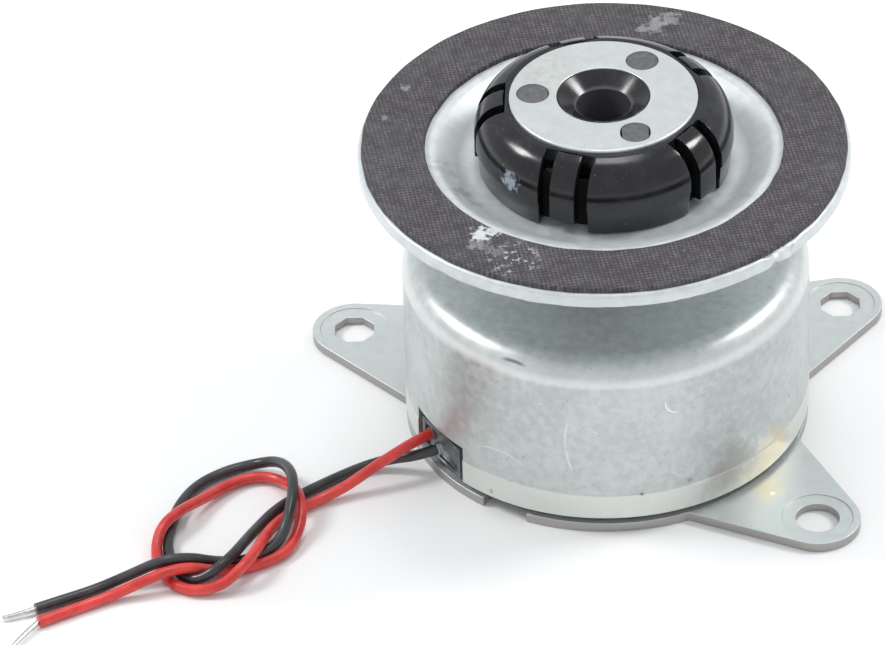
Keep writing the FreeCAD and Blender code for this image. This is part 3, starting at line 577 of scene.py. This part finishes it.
def make_mat_rubber():
    """Dark rubber with the imprint of a fine cloth, chalky smears and dust."""
    made = Finish("mat_rubber", roughness=0.8, Specular_IOR_Level=0.35)
    top = high("rubber_mat").z
    turned = made.add("ShaderNodeMapping", {
        "Vector": made.place, "Rotation": (0, 0, math.radians(WEAVE_ANGLE)),
        "Scale": (2 * math.pi / (WEAVE_PITCH * MM),) * 3})
    split = made.add("ShaderNodeSeparateXYZ", {0: turned.outputs[0]})
    waves = [made.math("SINE", split.outputs[axis]) for axis in ("X", "Y")]
    knurl = made.range(made.math("MULTIPLY", waves[0], waves[1]), -0.7, 0.6)
    worn = made.noise(2.5, detail=4.0, rough=0.6)
    uneven = made.range(made.noise(0.55, detail=2.0, shift=(8, 2, 2)), 0.3, 0.7, 0.25, 1.0)
    threads = made.math("MULTIPLY", knurl, uneven)
    colour = made.mix(threads, (0.047, 0.043, 0.046), (0.128, 0.118, 0.126))
    colour = made.mix(made.range(worn, 0.45, 0.75, 0.0, 0.35), colour, (0.115, 0.118, 0.125))
    fluff = made.range(made.noise(0.3, detail=4.0, rough=0.7, shift=(2, 8, 1)), 0.56, 0.72, 0.0, 0.35)
    colour = made.mix(fluff, colour, (0.22, 0.22, 0.23))
    dust = made.range(made.noise(0.16, detail=2.0, shift=(1, 5, 2)), 0.68, 0.78)
    colour = made.mix(made.math("MULTIPLY", dust, 0.7), colour, (0.42, 0.42, 0.43))
    for spot, reach, strength in MAT_SMEARS:
        colour = made.stain(colour, (*spot, top), reach, CHALK, strength, ragged=1.1)
    flakes = made.range(made.noise(0.26, detail=1.5, shift=(4, 4, 4)), 0.55, 0.66)
    flaky = made.math("MULTIPLY", flakes, made.near((-5.5, -10.9, top), 2.0))
    colour = made.mix(made.math("MULTIPLY", flaky, 0.85), colour, (0.50, 0.49, 0.50))
    made.set("Base Color", colour)
    made.bump(knurl, 0.8, 0.03)
    made.bump(made.noise(0.12, detail=2.0), 0.4, 0.02)
    return made


def make_hub_plastic():
    """Black polished moulding with faint handling marks, a painted highlight on its left front, painted shade
    at the back of the fingers' gaps and painted light in the bore.
    """
    made = Finish("hub_plastic", IOR=1.52)
    haze = made.noise(1.6, detail=5.0, rough=0.7)
    colour = made.mix(made.range(haze, 0.45, 0.75), (0.007, 0.007, 0.009), (0.020, 0.021, 0.024))
    # A bluish painted highlight on the dome's left front.
    colour = made.stain(colour, on_wall(-138.0, 20.3, 7.4), 0.75, (0.40, 0.46, 0.54), 0.8, ragged=1.0)
    lint = made.range(made.noise(0.15, detail=1.0, shift=(6, 1, 3)), 0.72, 0.78)
    colour = made.mix(made.math("MULTIPLY", lint, 0.3), colour, (0.30, 0.31, 0.33))
    # Painted shade: the back of the fingers' gaps and the ring behind them are painted near-black.
    reach = made.from_spindle()
    past_recess = made.range(reach, 5.5 * MM, 5.6 * MM)
    behind_skirt = made.range(reach, 6.55 * MM, 6.45 * MM)
    below_dome = made.range(made.along("Z"), 21.2 * MM, 21.1 * MM)
    painted_gap_shade = made.math("MULTIPLY", made.math("MULTIPLY", past_recess, behind_skirt), below_dome)
    # Painted light: the bore is painted paler than the moulding.
    painted_bore_light = made.range(reach, 1.8 * MM, 1.6 * MM)
    colour = made.mix(painted_bore_light, made.mix(painted_gap_shade, colour, (0.002, 0.002, 0.002)), (0.07, 0.07, 0.08))
    made.set("Base Color", colour)
    polish = made.range(haze, 0.3, 0.75, 0.15, 0.26)
    made.set("Roughness", made.math("MAXIMUM", polish, painted_gap_shade))
    made.bump(made.noise(1.2, detail=2.0), 0.2, 0.04)
    return made


def plain(name, dark, light, roughness, metallic=0.0, grain=0.3):
    """A simple finish: two close tones in a fine grain."""
    made = Finish(name, metallic=metallic)
    grains = made.noise(grain, detail=4.0, rough=0.6)
    made.set("Base Color", made.mix(made.range(grains, 0.3, 0.7), dark, light))
    made.set("Roughness", made.range(grains, 0.3, 0.7, roughness - 0.05, roughness + 0.05))
    made.bump(grains, 0.3, 0.01)
    return made


def make_pvc(name, dark, light):
    """Glossy lead insulation with a slightly uneven surface."""
    made = Finish(name, Coat_Weight=0.4, Coat_Roughness=0.12)
    cloud = made.noise(1.2, detail=3.0)
    made.set("Base Color", made.mix(made.range(cloud, 0.35, 0.65), dark, light))
    made.set("Roughness", made.range(made.noise(0.3), 0.3, 0.7, 0.34, 0.46))
    made.bump(made.noise(0.3, detail=3.0), 0.3, 0.02)
    return made


def make_bushing_plastic():
    """Dark grey moulding, with a pale painted reflection at its lower corner."""
    made = Finish("bushing_plastic", roughness=0.3)
    cloud = made.noise(0.5, detail=4.0)
    colour = made.mix(made.range(cloud, 0.35, 0.65), (0.055, 0.062, 0.066), (0.12, 0.13, 0.137))
    # A pale painted reflection on the lower corner.
    for spot, reach in ((on_wall(-149.0, 1.2, 11.58), 0.9), (on_wall(-152.5, 1.35, 11.55), 0.7)):
        colour = made.stain(colour, spot, reach, (0.38, 0.42, 0.44), 0.9)
    made.set("Base Color", colour)
    made.bump(cloud, 0.2, 0.02)
    return made


MAKERS = {
    "zinc_steel": make_zinc_steel,
    "plate_steel": make_plate_steel,
    "turntable_steel": make_turntable_steel,
    "clamp_steel": make_clamp_steel,
    "mat_rubber": make_mat_rubber,
    "hub_plastic": make_hub_plastic,
    "rivet_plastic": lambda: plain("rivet_plastic", (0.08, 0.08, 0.084), (0.125, 0.125, 0.13), 0.42),
    "bushing_plastic": make_bushing_plastic,
    "card_plastic": lambda: plain("card_plastic", (0.03, 0.03, 0.033), (0.06, 0.06, 0.065), 0.5),
    "washer_plastic": lambda: plain("washer_plastic", (0.66, 0.63, 0.55), (0.78, 0.76, 0.70), 0.45),
    "bronze": lambda: plain("bronze", (0.36, 0.25, 0.12), (0.60, 0.45, 0.24), 0.42, 1.0, 0.12),
    "ferrite": lambda: plain("ferrite", (0.04, 0.04, 0.042), (0.09, 0.09, 0.095), 0.7, 0.0, 0.2),
    "spring_steel": lambda: plain("spring_steel", (0.42, 0.43, 0.44), (0.58, 0.58, 0.60), 0.3, 1.0),
    "contact_metal": lambda: plain("contact_metal", (0.58, 0.36, 0.2), (0.76, 0.52, 0.32), 0.3, 1.0),
    "shaft_steel": lambda: plain("shaft_steel", (0.60, 0.61, 0.62), (0.76, 0.77, 0.78), 0.2, 1.0, 0.1),
    "lamination_steel": lambda: plain("lamination_steel", (0.2, 0.2, 0.22), (0.42, 0.42, 0.44), 0.45, 1.0),
    "copper_wire": lambda: plain("copper_wire", (0.45, 0.16, 0.06), (0.74, 0.34, 0.16), 0.3, 1.0),
    "red_pvc": lambda: make_pvc("red_pvc", (0.58, 0.022, 0.018), (0.74, 0.050, 0.040)),
    "black_pvc": lambda: make_pvc("black_pvc", (0.012, 0.012, 0.014), (0.035, 0.036, 0.040)),
    "tinned_wire": lambda: plain("tinned_wire", (0.50, 0.50, 0.48), (0.80, 0.80, 0.77), 0.33, 1.0, 0.15),
}


def finish(slot):
    """The material of one of the record's slots."""
    if slot not in finishes:
        finishes[slot] = MAKERS[slot]().material
    return finishes[slot]


# ---------------------------------------------------------------- pieces

CAN_WALL = 0.5
CAN_SHOULDER = 1.45
CAN_NECK_STEP = 0.04
CAN_TOP = 11.95
BOSS_WALL = 0.6
BAND_TOP = 2.6
WINDOW_HALF_WIDTH = 2.38
WINDOW_TOP = 3.52


def make_can():
    """The drawn can: a low band, a straight wall, a round shoulder and the bearing boss."""
    outer = high("motor_can").x
    neck = outer - CAN_NECK_STEP
    inner = neck - CAN_WALL
    foot = low("motor_can").z
    boss_top = high("motor_can").z
    boss_inner = high("upper_bearing").x
    boss = boss_inner + BOSS_WALL
    can = lathe("can_shell", [
        (inner, foot, 0.1), (outer, foot, 0.12), (outer, BAND_TOP, 0.06), (neck, BAND_TOP + 0.1, 0.06),
        (neck, CAN_TOP, CAN_SHOULDER), (boss, CAN_TOP, 0.5), (boss, boss_top, 0.25),
        (boss_inner, boss_top, 0.08), (boss_inner, CAN_TOP - CAN_WALL, 0.05),
        (inner, CAN_TOP - CAN_WALL, CAN_SHOULDER - CAN_WALL)],
        rounding_steps=10)
    window = box_at("window", outer / 2, outer * 1.2, WINDOW_HALF_WIDTH, foot - 1, WINDOW_TOP, LEAD_ANGLE)
    carve(can, [window])
    soften(can, 0.07)
    give(can, "housing", "zinc_steel", "motor_can")


def make_plate():
    """The mounting plate with its edges broken as a press tool leaves them."""
    plate = bpy.data.objects.new("base_plate", frame["nodes"]["mounting_plate"].data.copy())
    bpy.context.scene.collection.objects.link(plate)
    made = bmesh.new()
    made.from_mesh(plate.data)
    bmesh.ops.remove_doubles(made, verts=made.verts, dist=2e-6)
    bmesh.ops.dissolve_limit(made, angle_limit=math.radians(1.0), verts=made.verts, edges=made.edges)
    made.to_mesh(plate.data)
    made.free()
    if plate.data.has_custom_normals:
        bpy.context.view_layer.objects.active = plate
        plate.data.attributes.remove(plate.data.attributes["custom_normal"])
    carve(plate, [pin_at("shear_mark", 14.18, -57.2, 0.14, 0.0, 0.6, 16)], "UNION")
    soften(plate, 0.07)
    give(plate, "housing", "plate_steel", "mounting_plate")


RIM_FOOT = 17.97
RIM_WALL = 0.5
SEAT_RADIUS = 9.75
SEAT_UNDER_RADIUS = 9.5
SEAT_UNDERSIDE = 18.31
DISH_RADIUS = 8.1
DISH_UNDER_RADIUS = 7.85
BUSH_RADIUS = 2.0
BURR_ANGLE = -47.0
BURR_SPREAD = 5.0
TURNTABLE_STEPS = 360


def make_turntable():
    """The pressed turntable: a dished middle, a flat seat for the mat and a worn, burred rim."""
    rim = high("turntable_platter").x
    top = high("turntable_platter").z
    floor = low("centering_hub").z
    under = low("turntable_platter").z
    platter = lathe("turntable", [
        (BUSH_RADIUS, under), (DISH_UNDER_RADIUS, under, 0.8), (SEAT_UNDER_RADIUS, SEAT_UNDERSIDE, 0.8),
        (rim - RIM_WALL, SEAT_UNDERSIDE, 0.25), (rim - RIM_WALL, RIM_FOOT, 0.1), (rim, RIM_FOOT, 0.28),
        (rim, top, 0.26), (SEAT_RADIUS, top, 0.7), (DISH_RADIUS, floor, 1.5), (BUSH_RADIUS, floor)],
        steps=TURNTABLE_STEPS, rounding_steps=10)
    for vertex in platter.data.vertices:
        place = vertex.co / MM
        if math.hypot(place.x, place.y) > rim - 0.4:
            turn = math.degrees(math.atan2(place.y, place.x))
            chipped = math.exp(-((turn - BURR_ANGLE) / BURR_SPREAD) ** 2)
            wear = noise.noise(place * 1.7) * 0.06 + chipped * noise.noise(place * 3.0) * 0.55
            outward = Vector((place.x, place.y, 0)).normalized()
            vertex.co -= outward * max(wear, 0.0) * MM
            ripple = noise.noise(place * 1.1 + Vector((9, 9, 9))) * 0.03
            torn = chipped * noise.noise(place * 2.4 + Vector((5, 1, 7))) * 0.35
            vertex.co.z += (ripple + min(torn, 0.0)) * MM
    smooth(platter)
    give(platter, "rotor", "turntable_steel", "turntable_platter")


MAT_INNER_RADIUS = 10.3


def make_mat():
    """The flat rubber ring, with its outer edge not quite round."""
    inner = MAT_INNER_RADIUS
    outer = high("rubber_mat").x
    foot = low("rubber_mat").z
    top = high("rubber_mat").z
    mat = lathe("disc_mat", [(inner, foot), (outer, foot), (outer, top, 0.1), (inner, top, 0.1)],
                steps=TURNTABLE_STEPS)
    for vertex in mat.data.vertices:
        place = vertex.co / MM
        outward = Vector((place.x, place.y, 0)).normalized()
        vertex.co += outward * noise.noise(place * 0.8) * 0.05 * MM
    give(mat, "rotor", "mat_rubber", "rubber_mat")


HUB_TOP = 22.36
HUB_DOME = [(7.45, 20.85, 2.4), (6.75, 22.03, 1.8), (5.88, HUB_TOP, 0.1)]
HUB_SKIRT = [(7.25, 18.05, 0.12), (7.36, 19.60, 0.03), (7.45, 19.66, 0.05)]
STEM_RADIUS = 3.0
HUB_INSIDE = [(STEM_RADIUS, 21.0, 0.3), (6.5, 21.0, 0.6), (6.5, 18.05, 0.06)]
# A guessed ring behind the fingers' gaps; the hub's finish paints it near-black as painted shade.
GAP_SHADE_RING = [(6.2, 18.05), (6.42, 18.05), (6.42, 21.1), (6.2, 21.1)]
SHAFT_RADIUS = 1.0
CLAMP_RECESS_RADIUS = 5.46
FUNNEL_MOUTH_RADIUS = 2.66
PILOT_RADIUS = 1.55
PILOT_TOP = 21.85
PILOT_FOOT = 19.2
FINGER_GAP_INNER = 5.63
FINGER_GAP_HALF_WIDTH = 1.475
FINGER_HALF_WIDTH = 0.725


def finger_angles():
    """The angle of each spring finger about the spindle."""
    return [HUB_ANGLE + finger * 360 / FINGERS for finger in range(FINGERS)]


def make_hub():
    """The centring hub: rigid segments, a recess for the clamp plate, the funnel and gaps darkened by a
    guessed ring behind them, which the finish paints near-black as painted shade.
    """
    floor = low("centering_hub").z
    seat = low("clamp_plate").z
    top = high("clamp_plate").z
    recess_and_funnel = [
        (CLAMP_RECESS_RADIUS, HUB_TOP, 0.05), (CLAMP_RECESS_RADIUS, seat), (FUNNEL_MOUTH_RADIUS, seat),
        (FUNNEL_MOUTH_RADIUS, top - 0.02, 0.05), (2.58, top, 0.03), (PILOT_RADIUS, PILOT_TOP, 0.12),
        (PILOT_RADIUS, PILOT_FOOT), (SHAFT_RADIUS, PILOT_FOOT)]
    hub = lathe("hub", [(SHAFT_RADIUS, floor), (STEM_RADIUS, floor, 0.1)] + HUB_INSIDE + HUB_SKIRT
                + HUB_DOME + recess_and_funnel, rounding_steps=8)
    gaps = [box_at("gap", FINGER_GAP_INNER, 9.0, FINGER_GAP_HALF_WIDTH, floor - 1, 24.0, angle)
            for angle in finger_angles()]
    carve(hub, gaps)
    carve(hub, [lathe("gap_shade_ring", GAP_SHADE_RING)], "UNION")
    soften(hub, 0.06)
    give(hub, "rotor", "hub_plastic", "centering_hub")


def make_fingers():
    """The sprung fingers that stand in the hub's gaps."""
    foot = 18.7
    root = 5.76
    back = 6.75
    for number, angle in enumerate(finger_angles(), 1):
        finger = lathe("finger_%d" % number, [
            (root, 21.6), (6.3, 21.5, 0.3), (back, 20.9, 0.3), (back, foot, 0.1), (7.45, foot, 0.1)]
            + HUB_DOME + [(root, HUB_TOP)], rounding_steps=8)
        keep = box_at("keep", 4.0, 9.0, FINGER_HALF_WIDTH, 17.0, 24.0, 0.0)
        carve(finger, [keep], "INTERSECT")
        turn_mesh(finger, angle)
        soften(finger, 0.06)
        give(finger, "finger_%d" % number, "hub_plastic", "spring_finger_%d" % number)


CLAMP_BORE_RADIUS = 2.68
RIVET_HOLE_RADIUS = 0.95


def make_clamp_plate():
    """The steel disc on the hub, with two round rivet holes and one with two flats."""
    foot = low("clamp_plate").z
    top = high("clamp_plate").z
    edge = high("clamp_plate").x
    plate = lathe("clamp_disc", [
        (CLAMP_BORE_RADIUS, foot), (edge, foot), (edge, top, 0.12), (CLAMP_BORE_RADIUS, top, 0.05)])
    holes = [pin_at("hole", RIVET_PITCH, angle, RIVET_HOLE_RADIUS, foot - 1, top + 1)
             for angle in RIVET_ANGLES]
    for vertex in holes[-1].data.vertices:
        centre = RIVET_PITCH * math.cos(math.radians(RIVET_ANGLES[-1])) * MM
        widest = (RIVET_FLAT + 0.02 if vertex.co.z < top * MM else RIVET_FLAT + 0.5) * MM
        vertex.co.x = centre + max(-widest, min(widest, vertex.co.x - centre))
    carve(plate, holes)
    soften(plate, 0.05)
    give(plate, "rotor", "clamp_steel", "clamp_plate")


RIVET_STEPS = 64


def make_rivets():
    """The three rivet heads, each with a shallow dimple and the last with two flats."""
    foot = low("clamp_rivets").z
    top = high("clamp_rivets").z
    profile = [
        (0.93, foot), (0.93, top - 0.06), (0.87, top), (0.62, top), (0.56, top - 0.035), (0.0, top - 0.02)]
    made = bmesh.new()
    for angle in RIVET_ANGLES:
        turn = math.radians(angle)
        centre = Vector((RIVET_PITCH * math.cos(turn), RIVET_PITCH * math.sin(turn), 0))
        rings = []
        for radius, height in profile:
            ring = []
            for step in range(RIVET_STEPS):
                spin = 2 * math.pi * step / RIVET_STEPS
                x = radius * math.cos(spin)
                y = radius * math.sin(spin)
                if angle == RIVET_ANGLES[-1]:
                    x = max(-RIVET_FLAT, min(RIVET_FLAT, x))
                ring.append(made.verts.new((centre + Vector((x, y, height))) * MM))
            rings.append(ring)
        for one, two in zip(rings, rings[1:]):
            for step in range(RIVET_STEPS):
                after = (step + 1) % RIVET_STEPS
                made.faces.new((one[step], one[after], two[after], two[step]))
        made.faces.new(list(reversed(rings[0])))
    bmesh.ops.remove_doubles(made, verts=made.verts, dist=1e-7)
    give(mesh_piece("rivet_heads", made), "rotor", "rivet_plastic", "clamp_rivets")


BLOCK_FACE = 11.6
BLOCK_HALF_WIDTH = 2.02
BLOCK_FOOT = 0.97
BLOCK_TOP = 3.06
SLEEVE_LENGTH = 0.5
SLEEVE_WALL = 0.09


def sleeve_at(spot):
    """A short sleeve along the leads' exit that ends at a spot on the bushing's face."""
    radius = (LEAD_DIAMETER / 2 + SLEEVE_WALL) * MM
    made = bmesh.new()
    bmesh.ops.create_cone(made, cap_ends=True, segments=32, radius1=radius, radius2=radius,
                          depth=SLEEVE_LENGTH * MM)
    made.transform(Matrix.Rotation(math.radians(90), 4, "Y"))
    made.transform(Matrix.Rotation(math.radians(LEAD_ANGLE), 4, "Z"))
    outward = Vector((math.cos(math.radians(LEAD_ANGLE)), math.sin(math.radians(LEAD_ANGLE)), 0))
    made.transform(Matrix.Translation((Vector(spot) - outward * SLEEVE_LENGTH / 2) * MM))
    return mesh_piece("sleeve", made)


def make_bushing():
    """The insulating block in the can's opening: a raised rim and two sleeves round the leads."""
    block = box_at("lead_block", 9.2, BLOCK_FACE, BLOCK_HALF_WIDTH, BLOCK_FOOT, BLOCK_TOP, 0.0)
    hollow = box_at("hollow", BLOCK_FACE - 0.2, 12.0, 1.7, 1.25, 2.75, 0.0)
    carve(block, [hollow])
    turn_mesh(block, LEAD_ANGLE)
    carve(block, [sleeve_at(route[0]) for route in (RED_ROUTE, BLACK_ROUTE)], "UNION")
    soften(block, 0.08)
    give(block, "housing", "bushing_plastic", "lead_bushing")


# ---------------------------------------------------------------- stage

FLOOR_DROP = 0.02


def make_floor():
    """A plain pale floor just under the plate."""
    made = bmesh.new()
    bmesh.ops.create_grid(made, x_segments=1, y_segments=1, size=3.0)
    floor = mesh_piece("floor", made)
    floor.location.z = (low("mounting_plate").z - FLOOR_DROP) * MM
    surface = Finish("floor", roughness=0.85)
    tone = surface.noise(60.0, detail=1.0)
    surface.set("Base Color", surface.mix(tone, (0.90, 0.90, 0.90), (0.92, 0.92, 0.92)))
    floor.data.materials.append(surface.material)


def add_light(name, azimuth, elevation, distance, size, power):
    """A soft square panel that faces the object. Azimuth 0 is the camera's side and 90 the right."""
    data = bpy.data.lights.new(name, "AREA")
    data.shape = "SQUARE"
    data.size = size
    data.energy = power
    light = bpy.data.objects.new(name, data)
    bpy.context.scene.collection.objects.link(light)
    turn = math.radians(azimuth)
    rise = math.radians(elevation)
    out = Vector((math.sin(turn) * math.cos(rise), -math.cos(turn) * math.cos(rise), math.sin(rise)))
    light.location = out * distance
    light.rotation_mode = "QUATERNION"
    light.rotation_quaternion = (-out).to_track_quat("-Z", "Y")


def make_lights():
    """An even pale surround, a panel on each side a little behind, and one overhead."""
    world = bpy.data.worlds.new("studio")
    world.use_nodes = True
    background = world.node_tree.nodes["Background"]
    background.inputs["Color"].default_value = (0.96, 0.98, 1.0, 1.0)
    background.inputs["Strength"].default_value = 0.70
    bpy.context.scene.world = world
    add_light("left", -101, 46, 0.5, 0.12, 0.95)
    add_light("right", 107, 46, 0.5, 0.12, 0.9)
    add_light("above", 170, 76, 0.6, 0.16, 0.55)
    bpy.context.scene.view_settings.view_transform = "Standard"


# ---------------------------------------------------------------- assembly

make_camera()
make_lead("red", RED_ROUTE, RED_END)
make_lead("black", BLACK_ROUTE, BLACK_END)
make_can()
make_plate()
make_turntable()
make_mat()
make_hub()
make_fingers()
make_clamp_plate()
make_rivets()
make_bushing()
for node, thing in frame["nodes"].items():
    if not thing.hide_render:
        thing.data.materials.clear()
        thing.data.materials.append(finish(slots[node]))
make_floor()
make_lights()
